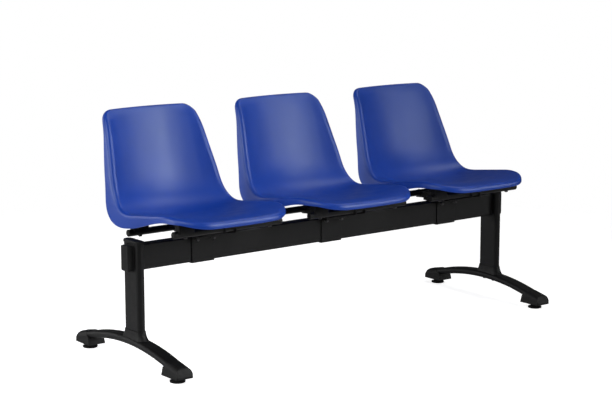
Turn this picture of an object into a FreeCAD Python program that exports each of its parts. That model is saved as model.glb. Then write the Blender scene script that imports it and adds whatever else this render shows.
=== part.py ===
"""Three-seat waiting bench: moulded shells on a steel beam with two columns and arched feet."""
import FreeCAD, Part
import math
import os

V = FreeCAD.Vector

# Frame: X along the bench, Y to the back, Z up, floor at Z = 0, Y = 0 at the middle of the feet.

# Layout of the bench
SEAT_PITCH = 517.0
SEAT_NAMES = ("left", "centre", "right")
COLUMN_SPACING = 1516.0
COLUMN_FORWARD = 22.0
FIT = 0.3
CONTACT = 0.1

# Beam, a rectangular tube, and its end plugs
BEAM_HEIGHT = 80.0
BEAM_DEPTH = 40.0
BEAM_WALL = 2.0
BEAM_CORNER = 5.0
BEAM_BOTTOM = 302.5
BEAM_STUB = 16.0
END_CAP_FLANGE = 5.0
END_CAP_INSERT = 16.0
END_CAP_WALL = 3.0
END_CAP_EDGE = 2.0

# Columns, flat oval tubes with a window for the beam
COLUMN_DEPTH = 88.0
COLUMN_WIDTH = 28.0
COLUMN_WALL = 2.0
COLUMN_RISE = 5.0
BASE_PLATE = 8.0
COLUMN_CAP_HEIGHT = 9.0
COLUMN_CAP_LIP = 2.0
COLUMN_CAP_INSERT = 4.0
COLUMN_CAP_EDGE = 4.0
COLUMN_BOLT_SPACING = 44.0

# Feet, arched flat oval tubes
ARM_WIDTH = 52.0
ARM_HEIGHT = 23.0
ARM_WALL = 2.5
ARM_RADIUS = 866.0
ARM_REACH = 272.0
SOCKET_HEIGHT = 24.0
SOCKET_WALL = 2.0
SOCKET_FLARE_Y = 14.0
SOCKET_FLARE_X = 5.0
SOCKET_SINK = 5.0
SOCKET_SHOULDER = 0.3

# Shoes on the ends of the feet: past the arm's end, and back from it to the collar, throat and inner end
SHOE_END = 24.0
SHOE_COLLAR_BACK = 30.0
SHOE_THROAT_BACK = 55.0
SHOE_INNER_BACK = 61.0
SHOE_WIDTH = 63.0
SHOE_TOP_WIDTH = 55.0
SHOE_BOTTOM = 16.5
SHOE_THROAT_RISE = 26.5
SHOE_COVER = 3.5
SHOE_SLOPE = 12.0
SHOE_LIP = 7.0
SHOE_LEAN = 9.0
SHOE_NOSE = 12.0
SHOE_SHOULDER = 20.0
SHOE_CORNER = 8.0

# Levelling glides and the captive nuts that they screw into
GLIDE_INSET = 18.0
GLIDE_DIAMETER = 48.0
GLIDE_HEIGHT = 9.0
GLIDE_CHAMFER = 2.0
GLIDE_NECK = 18.0
STEM_DIAMETER = 10.0
STEM_TOP = 44.0
STEM_PASSAGE = 1.2
NUT_HEIGHT = 6.0
NUT_ACROSS = 17.0
NUT_FLOOR = 2.0
NUT_GAP = 0.6

# Fasteners
BOLT_DIAMETER = 8.0
BOLT_HEAD = 5.5
BOLT_ACROSS = 13.0
BOLT_NUT = 6.5
BOLT_TAIL = 3.0
SCREW_DIAMETER = 6.0
SCREW_HEAD_DIAMETER = 12.0
SCREW_HEAD = 4.0
SCREW_BITE = 9.0

# Seat brackets: a channel from bar to bar on a saddle plate, and a strap under the beam
BRACKET_WIDTH = 84.0
BRACKET_PLATE = 4.0
CHANNEL_WIDTH = 42.0
CHANNEL_WALL = 3.0
CHANNEL_TIP = 16.0
CHANNEL_TIP_DEPTH = 16.0
CHANNEL_FOOT = 24.0
STRAP_PLATE = 3.0
STRAP_LUG = 26.0
STRAP_BEND = 3.0
BRACKET_BOLT_SPACING_X = 62.0

# Cross bars under each shell, with spacers up to the shell
BAR_DIAMETER = 22.0
BAR_WALL = 2.0
BAR_LENGTH = 400.0
BAR_FRONT = 93.0
BAR_REAR = 350.0
PLUG_FLANGE = 3.0
PLUG_BEVEL = 2.0
PLUG_INSERT = 12.0
SPACER_HEIGHT = 24.0
SPACER_LENGTH = 56.0
SPACER_DEPTH = 28.0
SPACER_SPACING = 316.0
SPACER_CORNER = 5.0
BOSS_DIAMETER = 16.0
BOSS_HEIGHT = 12.0

# Shell, side profile: front edge, seat, bend and back, measured from the beam's middle
SHELL_WALL = 4.5
FRONT_EDGE_Y = -246.0
FRONT_EDGE_Z = 470.0
FRONT_FALL = 12.0
FRONT_RADIUS = 180.0
SEAT_SLOPE = 7.8
SEAT_RUN = 262.0
BEND_RADIUS = 132.0
BACK_RECLINE = 17.5
BACK_RUN = 246.0

# Shell, developed outline: half width and dish at stations along the profile
SHELL_FRONT_HALF = 193.0
SHELL_SEAT_HALF = 214.0
SHELL_HIP_HALF = 216.0
SHELL_WAIST_HALF = 202.0
SHELL_TOP_HALF = 171.0
FRONT_CORNER = 80.0
TOP_CORNER = 35.0
FRONT_BOW = 8.0
TOP_BOW = 3.0
SEAT_DISH = 20.0
HIP_DISH = 21.0
BACK_DISH = 52.0
NECK_DISH = 49.0
NECK_RUN = 68.0
TOP_DISH = 14.0

# Shell, rolled rim and skirt
RIM_FRONT = 14.0
RIM_SEAT = 9.0
RIM_BACK = 15.0
RIM_TOP = 9.0
RIM_FLAT = 22.0
SKIRT_FRONT = 14.0
SKIRT_SEAT = 22.0
SKIRT_REAR = 44.0
SKIRT_HIP = 66.0
SKIRT_BACK = 38.0
SKIRT_TOP = 15.0
SKIRT_FOLLOW = 0.35

# Worked-out places
COLUMN_X = COLUMN_SPACING / 2
BEAM_Y = -COLUMN_FORWARD
BEAM_TOP = BEAM_BOTTOM + BEAM_HEIGHT
BEAM_END = COLUMN_X + COLUMN_WIDTH / 2 + BEAM_STUB
COLUMN_TOP = BEAM_TOP + COLUMN_RISE
GLIDE_Y = ARM_REACH - GLIDE_INSET
NUT_TOP = SHOE_BOTTOM + NUT_FLOOR + NUT_HEIGHT
ARM_INNER_RADIUS = ARM_RADIUS - ARM_HEIGHT / 2
ARM_AXIS_Z = NUT_TOP + NUT_GAP - math.sqrt(ARM_INNER_RADIUS ** 2 - (GLIDE_Y + NUT_ACROSS / math.sqrt(3)) ** 2)
ARM_TOP = ARM_AXIS_Z + ARM_RADIUS + ARM_HEIGHT / 2
SHOE_REACH = ARM_REACH + SHOE_END
SHOE_INNER = ARM_REACH - SHOE_INNER_BACK
SIDES = (("left", -1), ("right", 1))
ENDS = (("front", -1), ("rear", 1))


def save(node, shape):
    """Write one piece under its own name."""
    shape.exportStep(f"parts/{node}.step")


def joined(solids):
    """Put separate solids of one kind into a single group."""
    return Part.makeCompound(solids)


def flat_oval(length, width):
    """Closed outline in the XY plane: length along Y, width along X, round ends."""
    radius = width / 2
    half = length / 2 - radius
    points = [V(-radius, -half, 0), V(0, -half - radius, 0), V(radius, -half, 0)]
    front = Part.Arc(*points).toShape()
    back = Part.Arc(V(radius, half, 0), V(0, half + radius, 0), V(-radius, half, 0)).toShape()
    right = Part.makeLine(V(radius, -half, 0), V(radius, half, 0))
    left = Part.makeLine(V(-radius, half, 0), V(-radius, -half, 0))
    return Part.Wire([front, right, back, left])


def oval_prism(length, width, bottom, top, centre=V(0, 0, 0)):
    """Solid flat oval between two heights."""
    face = Part.Face(flat_oval(length, width))
    face.translate(centre + V(0, 0, bottom))
    return face.extrude(V(0, 0, top - bottom))


def rounded_box(size_x, size_y, size_z, centre, radius, along):
    """Box about a centre, with the edges along one axis rounded."""
    corner = centre - V(size_x, size_y, size_z) / 2
    box = Part.makeBox(size_x, size_y, size_z, corner)
    edges = [e for e in box.Edges if abs(e.tangentAt(e.FirstParameter).dot(along)) > 0.9]
    return box.makeFillet(radius, edges)


def cylinder(radius, start, end):
    """Cylinder between two points."""
    axis = end - start
    return Part.makeCylinder(radius, axis.Length, start, axis)


def hexagon_prism(across, start, end):
    """Hexagonal prism between two points."""
    radius = across / math.sqrt(3)
    turns = [k * math.pi / 3 for k in range(7)]
    corners = [V(radius * math.cos(turn), radius * math.sin(turn), 0) for turn in turns]
    face = Part.Face(Part.makePolygon(corners))
    axis = end - start
    face.Placement = FreeCAD.Placement(start, FreeCAD.Rotation(V(0, 0, 1), axis))
    return face.extrude(axis)


# Beam

def beam_section(shrink, length):
    """Rounded rectangle of the beam, drawn in by a distance, along X."""
    height = BEAM_HEIGHT - 2 * shrink
    depth = BEAM_DEPTH - 2 * shrink
    centre = V(0, BEAM_Y, BEAM_BOTTOM + BEAM_HEIGHT / 2)
    return rounded_box(length, depth, height, centre, BEAM_CORNER - shrink, V(1, 0, 0))


def beam_tube():
    """Rectangular tube that carries the seats."""
    return beam_section(0, 2 * BEAM_END).cut(beam_section(BEAM_WALL, 3 * BEAM_END))


def beam_end_cap(side):
    """Plug with an outer flange and a hollow insert in the beam's end."""
    flange = beam_section(0, END_CAP_FLANGE)
    flange.translate(V(BEAM_END + END_CAP_FLANGE / 2, 0, 0))
    outer = [e for e in flange.Edges if e.BoundBox.XMin > BEAM_END + END_CAP_FLANGE / 2]
    flange = flange.makeFillet(END_CAP_EDGE, outer)
    insert = beam_section(BEAM_WALL + FIT, END_CAP_INSERT)
    inner = beam_section(BEAM_WALL + FIT + END_CAP_WALL - BEAM_WALL, END_CAP_INSERT)
    insert = insert.cut(inner)
    insert.translate(V(BEAM_END - END_CAP_INSERT / 2, 0, 0))
    cap = flange.fuse(insert).removeSplitter()
    return cap if side > 0 else cap.mirror(V(0, 0, 0), V(1, 0, 0))


# Columns

def arm_z(y, offset):
    """Height of the foot's arc at a place along it, offset from its middle line."""
    return ARM_AXIS_Z + math.sqrt((ARM_RADIUS + offset) ** 2 - y ** 2)


def column_foot():
    """Height of the column's lower end on the foot."""
    return ARM_TOP + FIT


def column(side):
    """Oval tube with a base plate inside and a window for the beam."""
    centre = V(side * COLUMN_X, BEAM_Y, 0)
    bottom = column_foot()
    bore_depth = COLUMN_DEPTH - 2 * COLUMN_WALL
    bore_width = COLUMN_WIDTH - 2 * COLUMN_WALL
    tube = oval_prism(COLUMN_DEPTH, COLUMN_WIDTH, bottom, COLUMN_TOP, centre)
    tube = tube.cut(oval_prism(bore_depth, bore_width, bottom + BASE_PLATE, COLUMN_TOP, centre))
    window = beam_section(-CONTACT, 2 * COLUMN_WIDTH)
    window.translate(V(side * COLUMN_X, 0, 0))
    tube = tube.cut(window)
    for y in column_bolt_places():
        top = V(centre.x, y, bottom + BASE_PLATE)
        tube = tube.cut(cylinder(BOLT_DIAMETER / 2 + CONTACT, V(centre.x, y, 0), top))
    return tube


def column_cap(side):
    """Oval cap with a rounded top edge and a short insert."""
    centre = V(side * COLUMN_X, BEAM_Y, 0)
    depth = COLUMN_DEPTH + 2 * COLUMN_CAP_LIP
    width = COLUMN_WIDTH + 2 * COLUMN_CAP_LIP
    top = COLUMN_TOP + COLUMN_CAP_HEIGHT
    cap = oval_prism(depth, width, COLUMN_TOP, top, centre)
    rim = [e for e in cap.Edges if e.BoundBox.ZMin > top - CONTACT]
    cap = cap.makeFillet(COLUMN_CAP_EDGE, rim)
    inset = 2 * (COLUMN_WALL + FIT)
    insert = oval_prism(COLUMN_DEPTH - inset, COLUMN_WIDTH - inset, COLUMN_TOP - COLUMN_CAP_INSERT,
                        COLUMN_TOP, centre)
    return cap.fuse(insert)


def column_bolt_places():
    """Y of the two bolts up into the column."""
    return [BEAM_Y - COLUMN_BOLT_SPACING / 2, BEAM_Y + COLUMN_BOLT_SPACING / 2]


def column_bolts(side):
    """Two bolts from under the foot into the column's base plate."""
    bolts = []
    for y in column_bolt_places():
        edges = (y - BOLT_ACROSS / 2, y + BOLT_ACROSS / 2)
        seat_z = min(arm_z(edge, -ARM_HEIGHT / 2) for edge in edges) - CONTACT
        foot = V(side * COLUMN_X, y, seat_z)
        head = hexagon_prism(BOLT_ACROSS, foot - V(0, 0, BOLT_HEAD), foot)
        shank = cylinder(BOLT_DIAMETER / 2, foot, V(foot.x, y, column_foot() + BASE_PLATE))
        bolts.append(head.fuse(shank))
    return joined(bolts)


# Feet

def arm_solid(grow, reach):
    """Flat oval bar bent to the foot's arc, out to a reach on both sides of the middle."""
    outline = flat_oval(ARM_WIDTH + 2 * grow, ARM_HEIGHT + 2 * grow)
    outline.rotate(V(0, 0, 0), V(0, 0, 1), 90)
    outline.rotate(V(0, 0, 0), V(1, 0, 0), 90)
    outline.translate(V(0, 0, ARM_TOP - ARM_HEIGHT / 2))
    half_angle = math.degrees(math.asin(reach / ARM_RADIUS))
    axis_point = V(0, 0, ARM_AXIS_Z)
    outline.rotate(axis_point, V(1, 0, 0), -half_angle)
    return Part.Face(outline).revolve(axis_point, V(1, 0, 0), 2 * half_angle)


def foot_arm(side):
    """Arched tube of one foot, drilled for the column bolts and the glide stems."""
    arm = arm_solid(0, ARM_REACH).cut(arm_solid(-ARM_WALL, ARM_REACH + ARM_HEIGHT))
    for y in column_bolt_places():
        arm = arm.cut(cylinder(BOLT_DIAMETER / 2 + FIT, V(0, y, 0), V(0, y, 2 * ARM_TOP)))
    for end in (-1, 1):
        y = end * GLIDE_Y
        arm = arm.cut(cylinder(STEM_DIAMETER / 2 + STEM_PASSAGE, V(0, y, 0), V(0, y, arm_z(y, 0))))
    arm.translate(V(side * COLUMN_X, 0, 0))
    return arm


def column_socket(side):
    """Flared oval collar that drapes over the foot and holds the column."""
    top_z = ARM_TOP + SOCKET_HEIGHT
    base_z = ARM_TOP - SOCKET_SINK
    outlines = []
    for share, z in ((1, base_z), (SOCKET_SHOULDER, (base_z + top_z) / 2), (0, top_z)):
        depth = COLUMN_DEPTH + 2 * (SOCKET_WALL + share * SOCKET_FLARE_Y)
        width = COLUMN_WIDTH + 2 * (SOCKET_WALL + share * SOCKET_FLARE_X)
        outline = flat_oval(depth, width)
        outline.translate(V(0, BEAM_Y, z))
        outlines.append(outline)
    collar = Part.makeLoft(outlines, True, False)
    centre = V(0, BEAM_Y, 0)
    bore = oval_prism(COLUMN_DEPTH + 2 * CONTACT, COLUMN_WIDTH + 2 * CONTACT, 0, 2 * top_z, centre)
    collar = collar.cut(bore).cut(arm_solid(CONTACT, ARM_REACH))
    collar.translate(V(side * COLUMN_X, 0, 0))
    return collar


def shoe_body():
    """Outer form of a rear shoe: side profile, arched section with leaning sides, rounded plan."""
    collar = ARM_REACH - SHOE_COLLAR_BACK
    collar_z = arm_z(collar, ARM_HEIGHT / 2) + SHOE_COVER
    fall = math.tan(math.radians(SHOE_SLOPE))
    top_reach = SHOE_REACH - SHOE_LEAN
    top_end = V(0, top_reach, collar_z - (top_reach - collar) * fall)
    corners = [
        V(0, SHOE_INNER, SHOE_BOTTOM),
        V(0, SHOE_REACH, SHOE_BOTTOM),
        V(0, SHOE_REACH, SHOE_BOTTOM + SHOE_LIP),
        top_end,
        V(0, collar, collar_z),
        V(0, ARM_REACH - SHOE_THROAT_BACK, SHOE_BOTTOM + SHOE_THROAT_RISE),
        V(0, SHOE_INNER, SHOE_BOTTOM),
    ]
    profile = Part.Face(Part.makePolygon(corners)).extrude(V(SHOE_WIDTH, 0, 0))
    profile.translate(V(-SHOE_WIDTH / 2, 0, 0))
    nose = [e for e in profile.Edges if e.CenterOfMass.distanceToPoint(top_end) < CONTACT]
    profile = profile.makeFillet(SHOE_NOSE, nose)
    run = V(0, SHOE_REACH - SHOE_INNER, (SHOE_INNER - SHOE_REACH) * fall)
    low = SHOE_WIDTH / 2
    high = SHOE_TOP_WIDTH / 2
    inner_top = collar_z + (collar - SHOE_INNER) * fall
    section = [V(-low, SHOE_INNER, 0), V(low, SHOE_INNER, 0), V(high, SHOE_INNER, inner_top),
               V(-high, SHOE_INNER, inner_top), V(-low, SHOE_INNER, 0)]
    arch = Part.Face(Part.makePolygon(section)).extrude(run)
    shoulders = [e for e in arch.Edges if e.BoundBox.XLength < CONTACT and e.BoundBox.YLength > SHOE_NOSE
                 and e.CenterOfMass.z > SHOE_BOTTOM]
    arch = arch.makeFillet(SHOE_SHOULDER, shoulders)
    length = SHOE_REACH - SHOE_INNER
    plan = rounded_box(SHOE_WIDTH, 2 * length, 2 * inner_top, V(0, SHOE_INNER, inner_top), SHOE_CORNER,
                       V(0, 0, 1))
    return profile.common(arch).common(plan)


def shoe():
    """Rear shoe of a foot in the middle plane: cap with a pocket for the arm and for the nut."""
    y = GLIDE_Y
    body = shoe_body().cut(arm_solid(CONTACT, ARM_REACH + FIT))
    nut_floor = V(0, y, SHOE_BOTTOM + NUT_FLOOR)
    pocket = hexagon_prism(NUT_ACROSS + 2 * CONTACT, nut_floor, V(0, y, arm_z(y, 0)))
    passage = cylinder(STEM_DIAMETER / 2 + FIT, V(0, y, 0), V(0, y, NUT_TOP))
    return body.cut(pocket).cut(passage)


def glide_nuts():
    """Four captive nuts, one in each shoe."""
    nuts = []
    for _, side in SIDES:
        for end in (-1, 1):
            foot = V(side * COLUMN_X, end * GLIDE_Y, SHOE_BOTTOM + NUT_FLOOR)
            nut = hexagon_prism(NUT_ACROSS, foot, foot + V(0, 0, NUT_HEIGHT))
            nuts.append(nut.cut(cylinder(STEM_DIAMETER / 2 + FIT, foot, foot + V(0, 0, NUT_HEIGHT))))
    return joined(nuts)


def glide(side, end):
    """Levelling foot: chamfered round pad with a neck and a stem."""
    radius = GLIDE_DIAMETER / 2
    points = [
        V(0, 0, 0),
        V(radius - GLIDE_CHAMFER, 0, 0),
        V(radius, 0, GLIDE_CHAMFER),
        V(radius, 0, GLIDE_HEIGHT / 2),
        V(GLIDE_NECK / 2, 0, GLIDE_HEIGHT),
        V(STEM_DIAMETER / 2, 0, GLIDE_HEIGHT),
        V(STEM_DIAMETER / 2, 0, STEM_TOP),
        V(0, 0, STEM_TOP),
        V(0, 0, 0),
    ]
    body = Part.Face(Part.makePolygon(points)).revolve(V(0, 0, 0), V(0, 0, 1), 360)
    body.translate(V(side * COLUMN_X, end * GLIDE_Y, 0))
    return body


# Shell surface

def smooth_value(stations, b):
    """Smooth value between stations, flat in slope at the first and the last."""
    if b <= stations[0][0]:
        return stations[0][1]
    for (b0, v0), (b1, v1) in zip(stations, stations[1:]):
        if b <= b1:
            t = (b - b0) / (b1 - b0)
            return v0 + (v1 - v0) * t * t * (3 - 2 * t)
    return stations[-1][1]


class Profile:
    """Side view of the sitting surface in the shell's middle plane, by distance from the front edge."""

    def __init__(self):
        slope = math.radians(SEAT_SLOPE)
        fall = math.radians(FRONT_FALL)
        recline = math.radians(BACK_RECLINE)
        turn = math.pi / 2 - recline + slope
        self.runs = []
        self.length = 0
        self.end = (FRONT_EDGE_Y, FRONT_EDGE_Z, fall)
        self.add(FRONT_RADIUS * (fall + slope), -1 / FRONT_RADIUS)
        self.seat_start = self.length
        self.add(SEAT_RUN, 0)
        self.bend_start = self.length
        self.add(BEND_RADIUS * turn, 1 / BEND_RADIUS)
        self.back_start = self.length
        self.add(BACK_RUN, 0)

    def add(self, length, curvature):
        """Append an arc or, with no curvature, a straight run."""
        self.runs.append((self.length, length, curvature, self.end))
        self.length += length
        self.end = self.at(self.length)

    def at(self, b):
        """Y, Z and heading at a distance along the profile."""
        start, _, curvature, (y, z, heading) = [r for r in self.runs if r[0] <= max(b, 0)][-1]
        s = b - start
        if curvature == 0:
            return (y + s * math.cos(heading), z + s * math.sin(heading), heading)
        turned = heading + s * curvature
        return (y + (math.sin(turned) - math.sin(heading)) / curvature,
                z - (math.cos(turned) - math.cos(heading)) / curvature, turned)


PROFILE = Profile()
BEND_MIDDLE = (PROFILE.bend_start + PROFILE.back_start) / 2
HALF_WIDTHS = (
    (0, SHELL_FRONT_HALF),
    (PROFILE.seat_start * 2, SHELL_SEAT_HALF),
    (PROFILE.bend_start, SHELL_HIP_HALF),
    (PROFILE.back_start, SHELL_WAIST_HALF),
)
DISHES = (
    (0, 0),
    (PROFILE.seat_start * 2, SEAT_DISH),
    (PROFILE.bend_start, HIP_DISH),
    (PROFILE.back_start, BACK_DISH),
    (PROFILE.length - NECK_RUN, NECK_DISH),
    (PROFILE.length, TOP_DISH),
)
SKIRTS = (
    (0, SKIRT_FRONT),
    (PROFILE.seat_start * 2, SKIRT_SEAT),
    (PROFILE.bend_start, SKIRT_REAR),
    (BEND_MIDDLE, SKIRT_HIP),
    (PROFILE.back_start, SKIRT_BACK),
    (PROFILE.length, SKIRT_TOP),
)
RIMS = (
    (0, RIM_FRONT),
    (PROFILE.seat_start * 2, RIM_SEAT),
    (PROFILE.bend_start, RIM_SEAT),
    (PROFILE.back_start, RIM_BACK),
    (PROFILE.length - NECK_RUN, RIM_BACK),
    (PROFILE.length, RIM_TOP),
)


def half_width(b):
    """Half width of the shell along its profile, tapering in a straight line up the back."""
    if b > PROFILE.back_start:
        share = (b - PROFILE.back_start) / BACK_RUN
        return SHELL_WAIST_HALF + share * (SHELL_TOP_HALF - SHELL_WAIST_HALF)
    return smooth_value(HALF_WIDTHS, b)


def shell_point(a, b):
    """Point of the sitting surface: a across from the middle, b along the profile."""
    y, z, heading = PROFILE.at(b)
    rise = smooth_value(DISHES, b) * (a / SHELL_WAIST_HALF) ** 2
    return V(a, y - rise * math.sin(heading), z + rise * math.cos(heading))


def shell_frame(a, b):
    """Tangents across and along the sitting surface, and its normal towards the sitter."""
    across = (shell_point(a + SLOPE_STEP, b) - shell_point(a - SLOPE_STEP, b)).normalize()
    along = (shell_point(a, b + SLOPE_STEP) - shell_point(a, b - SLOPE_STEP)).normalize()
    return across, along, across.cross(along).normalize()


# Points that shape the shell's faces
ARC_STEPS = 4
EDGE_STEPS = 8
SIDE_STEPS = 16
SKIRT_SHARES = (0.5, 1.0)
SLOPE_STEP = 0.5


def corner_turns(first, last):
    """Angles through half of a rounded corner."""
    return [math.radians(first + (last - first) * k / ARC_STEPS) for k in range(ARC_STEPS + 1)]


def edge_outline(radius, b_edge, inward, bow):
    """Front or top edge from the middle of one corner to the middle of the other."""
    def corner(turn):
        b = b_edge + inward * radius * (1 - math.sin(turn))
        return half_width(b) - radius * (1 - math.cos(turn)), b
    right = [corner(turn) for turn in corner_turns(90, 45)]
    straight = right[0][0]
    spread = [straight * (2 * k / EDGE_STEPS - 1) for k in range(1, EDGE_STEPS)]
    line = [(-a, b) for a, b in reversed(right)] + [(a, b_edge) for a in spread] + right
    reach = line[-1][0]
    return [(a, b - inward * bow * (1 - (a / reach) ** 2)) for a, b in line]


def side_outline():
    """Right side from the middle of the front corner to the middle of the top corner."""
    points = []
    for turn in corner_turns(45, 0):
        b = FRONT_CORNER * (1 - math.sin(turn))
        points.append((half_width(b) - FRONT_CORNER * (1 - math.cos(turn)), b))
    run = PROFILE.length - TOP_CORNER - FRONT_CORNER
    for k in range(1, SIDE_STEPS):
        b = FRONT_CORNER + run * k / SIDE_STEPS
        points.append((half_width(b), b))
    for turn in corner_turns(0, 45):
        b = PROFILE.length - TOP_CORNER * (1 - math.sin(turn))
        points.append((half_width(b) - TOP_CORNER * (1 - math.cos(turn)), b))
    return points


def shell_outlines():
    """The four sides of the developed outline, front and top left to right, sides front to top."""
    right = side_outline()
    left = [(-a, b) for a, b in right]
    front = edge_outline(FRONT_CORNER, 0, 1, FRONT_BOW)
    top = edge_outline(TOP_CORNER, PROFILE.length, -1, TOP_BOW)
    return front, right, top, left


def outward_normals(front, right, top, left):
    """Unit vectors out of the outline at each of its points, shared where two sides meet."""
    loop = front[:-1] + right[:-1] + list(reversed(top))[:-1] + list(reversed(left))[:-1]
    normals = {}
    for k, point in enumerate(loop):
        before = loop[k - 1]
        after = loop[(k + 1) % len(loop)]
        da = after[0] - before[0]
        db = after[1] - before[1]
        size = math.hypot(da, db)
        normals[point] = (db / size, -da / size)
    return normals


def rim_strip(point, normal):
    """Two rows of points, over the rim and down the skirt, on the outside and on the inside."""
    a, b = point
    na, nb = normal
    radius = smooth_value(RIMS, b)

    def inset(distance):
        return a - na * distance, b - nb * distance

    across, along, up = shell_frame(*inset(radius))
    middle_up = shell_frame(0, inset(radius)[1])[2]
    out = (across * na + along * nb).normalize()
    down = (up * SKIRT_FOLLOW + middle_up * (1 - SKIRT_FOLLOW)).normalize() * -1
    side = (down - out * down.dot(out)).normalize()
    turn = out.getAngle(down)
    start = shell_point(*inset(radius))
    centre = start + side * radius
    drop = max(smooth_value(SKIRTS, b) - radius, SHELL_WALL)

    def arc(reach):
        turns = [turn * k / ARC_STEPS for k in range(ARC_STEPS + 1)]
        return [centre + out * (reach * math.sin(t)) - side * (reach * math.cos(t)) for t in turns]

    def skirt(arc_points):
        return [arc_points[-1] + down * (drop * share) for share in SKIRT_SHARES]

    outer_arc = arc(radius)
    inner_arc = arc(radius - SHELL_WALL)
    middle = (RIM_FLAT + radius) / 2
    outer = [shell_point(*inset(RIM_FLAT)), shell_point(*inset(middle))] + outer_arc + skirt(outer_arc)
    inner = [shell_under(*inset(RIM_FLAT)), shell_under(*inset(middle))] + inner_arc + skirt(inner_arc)
    return outer, inner


def shell_under(a, b):
    """Point of the shell's underside below a point of the sitting surface."""
    return shell_point(a, b) - shell_frame(a, b)[2] * SHELL_WALL


def spline_face(rows):
    """Smooth face shaped by a net of points, straight across where a row has only two."""
    def knots(count, degree):
        spans = count - degree
        return list(range(spans + 1)), [degree + 1] + [1] * (spans - 1) + [degree + 1]
    across = min(3, len(rows[0]) - 1)
    u_knots, u_mults = knots(len(rows), 3)
    v_knots, v_mults = knots(len(rows[0]), across)
    surface = Part.BSplineSurface()
    surface.buildFromPolesMultsKnots(rows, u_mults, v_mults, u_knots, v_knots, False, False, 3, across)
    return surface.toShape()


def blend_net(front, right, top, left):
    """Net of outline coordinates filled in from four sides."""
    columns = len(front) - 1
    rows = len(right) - 1

    def mix(p, q, t):
        return p[0] + (q[0] - p[0]) * t, p[1] + (q[1] - p[1]) * t

    net = []
    for i in range(columns + 1):
        u = i / columns
        line = []
        for j in range(rows + 1):
            v = j / rows
            along = mix(front[i], top[i], v)
            across = mix(left[j], right[j], u)
            corners = mix(mix(front[0], front[-1], u), mix(top[0], top[-1], u), v)
            line.append((along[0] + across[0] - corners[0], along[1] + across[1] - corners[1]))
        net.append(line)
    return net


def shell_skin():
    """Closed moulded shell: sitting face, underside and, on four sides, rolled rim, inside and edge."""
    outlines = shell_outlines()
    normals = outward_normals(*outlines)
    inner = [[(p[0] - normals[p][0] * RIM_FLAT, p[1] - normals[p][1] * RIM_FLAT) for p in line]
             for line in outlines]
    net = blend_net(*inner)
    faces = [
        spline_face([[shell_point(*p) for p in line] for line in net]),
        spline_face([[shell_under(*p) for p in line] for line in net]),
    ]
    for line in outlines:
        strips = [rim_strip(p, normals[p]) for p in line]
        faces.append(spline_face([outer for outer, _ in strips]))
        faces.append(spline_face([inner for _, inner in strips]))
        faces.append(spline_face([[outer[-1], inner[-1]] for outer, inner in strips]))
    skin = Part.makeShell(faces)
    skin.sewShape()
    solid = Part.Solid(skin)
    if solid.Volume < 0:
        solid.reverse()
    return solid


# Shell fixings

def pan_normal():
    """Upward normal of the seat's straight run in the middle plane."""
    slope = math.radians(SEAT_SLOPE)
    return V(0, math.sin(slope), math.cos(slope))


def bar_centre(b):
    """Middle of a cross bar below a place on the seat."""
    y, z, _ = PROFILE.at(b)
    return V(0, y, z) - pan_normal() * (SHELL_WALL + SPACER_HEIGHT + BAR_DIAMETER / 2)


def fixing_places():
    """Middle of each bar at its two fixings."""
    offsets = [V(side * SPACER_SPACING / 2, 0, 0) for _, side in SIDES]
    return [bar_centre(b) + offset for b in (BAR_FRONT, BAR_REAR) for offset in offsets]


def boss_foot(place):
    """Lower end of the shell's boss above a fixing."""
    return place + pan_normal() * (BAR_DIAMETER / 2 + SPACER_HEIGHT - BOSS_HEIGHT)


def moulded_shell():
    """Shell with its four screw bosses."""
    up = pan_normal()
    skin = shell_skin()
    shell = skin
    for place in fixing_places():
        foot = boss_foot(place)
        reach = foot + up * (BOSS_HEIGHT + SEAT_DISH + SHELL_WALL)
        boss = cylinder(BOSS_DIAMETER / 2, foot, reach).cut(skin)
        lower = min(boss.Solids, key=lambda s: s.CenterOfMass.z)
        shell = shell.fuse(lower)
    for place in fixing_places():
        foot = boss_foot(place)
        pilot = cylinder(SCREW_DIAMETER / 2 + CONTACT, foot - up, foot + up * (SCREW_BITE + FIT))
        shell = shell.cut(pilot)
    return shell


def shell_spacers(shell):
    """Four blocks between the bars and the shell, hollowed for the bosses."""
    up = pan_normal()
    slope = FreeCAD.Rotation(V(1, 0, 0), -SEAT_SLOPE)
    tool = shell.copy()
    tool.translate(up * -FIT)
    blocks = []
    for place in fixing_places():
        height = BAR_DIAMETER / 2 + SPACER_HEIGHT + SEAT_DISH
        middle = V(0, 0, height / 2)
        block = rounded_box(SPACER_LENGTH, SPACER_DEPTH, height, middle, SPACER_CORNER, V(0, 0, 1))
        block.Placement = FreeCAD.Placement(place, slope)
        half_bar = V(SPACER_LENGTH, 0, 0)
        bar = cylinder(BAR_DIAMETER / 2 + CONTACT, place - half_bar, place + half_bar)
        pocket = cylinder(BOSS_DIAMETER / 2 + FIT, boss_foot(place) - up * FIT, place + up * 2 * height)
        hole = cylinder(SCREW_DIAMETER / 2 + FIT, place, place + up * height)
        block = block.cut(bar).cut(hole).cut(tool)
        block = min(block.Solids, key=lambda s: s.CenterOfMass.z)
        blocks.append(block.cut(pocket))
    return joined(blocks)


def shell_screws():
    """Four screws up through the bars into the bosses."""
    up = pan_normal()
    screws = []
    for place in fixing_places():
        head_top = place - up * (BAR_DIAMETER / 2 + CONTACT)
        head = cylinder(SCREW_HEAD_DIAMETER / 2, head_top - up * SCREW_HEAD, head_top)
        shank = cylinder(SCREW_DIAMETER / 2, head_top, boss_foot(place) + up * SCREW_BITE)
        screws.append(head.fuse(shank))
    return joined(screws)


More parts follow.
